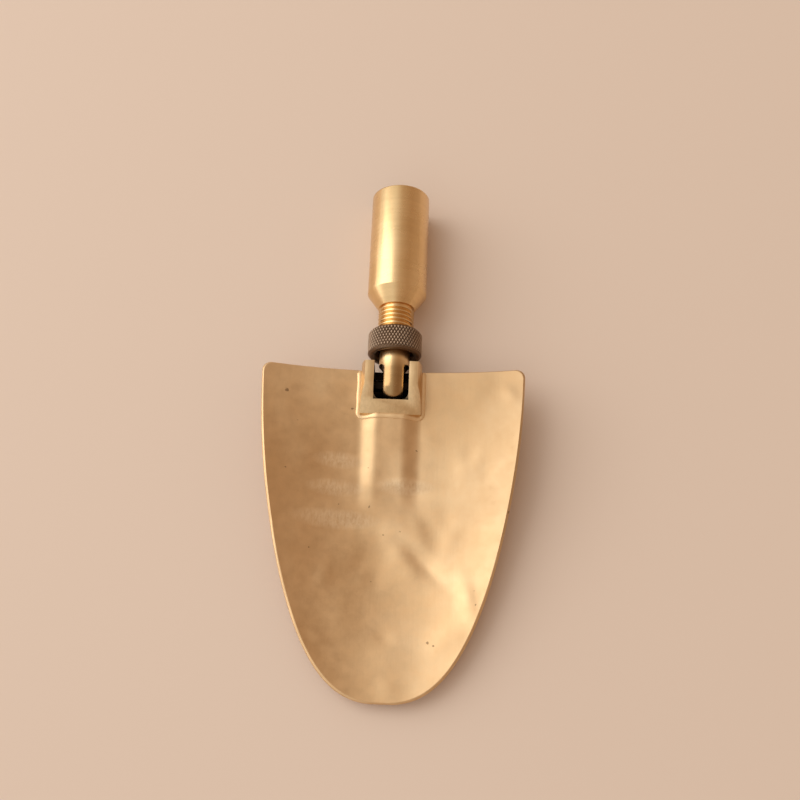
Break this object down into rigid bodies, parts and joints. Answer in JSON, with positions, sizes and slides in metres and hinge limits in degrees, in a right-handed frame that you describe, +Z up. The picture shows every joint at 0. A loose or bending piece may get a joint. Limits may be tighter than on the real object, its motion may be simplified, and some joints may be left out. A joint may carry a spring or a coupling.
{
  "type": "fireplace shovel",
  "caption": "Folding fireplace shovel head in brass: a hammered dished blade hinged in a clevis to a turned socket, with a knurled nut that locks the fold.",
  "frame": {"origin": "middle of the shovel's box in plan, at the height of the surface that it lies on", "axes": "+Y from the blade's tip towards the socket's mouth, +Z up, out of the blade's hollow side, +X to the right"},
  "size_m": [0.0862, 0.172, 0.02],
  "materials": {
    "turned_brass": "satin turned",
    "hammered_brass": "hand hammered and scratched, satin",
    "aged_brass": "knurled, darkened with age",
    "brazing_metal": "filed bright"
  },
  "bodies": {
    "handle_socket": {"socket": "turned_brass"},
    "lock_ring": {"lock_nut": "aged_brass"},
    "shovel_blade": {"clevis": "turned_brass", "pivot_pin": "turned_brass", "blade": "hammered_brass", "braze_bead": "brazing_metal"}
  },
  "joints": [
    {"name": "blade_fold", "type": "hinge", "parent": "handle_socket", "child": "shovel_blade", "pos_m": [0, 0.01416, 0.01], "axis": [-1, 0, 0], "range_deg": [0, 90]},
    {"name": "nut_travel", "type": "slide", "parent": "handle_socket", "child": "lock_ring", "axis": [0, 1, 0], "range_m": [-0.0031, 0.0089]}
  ]
}
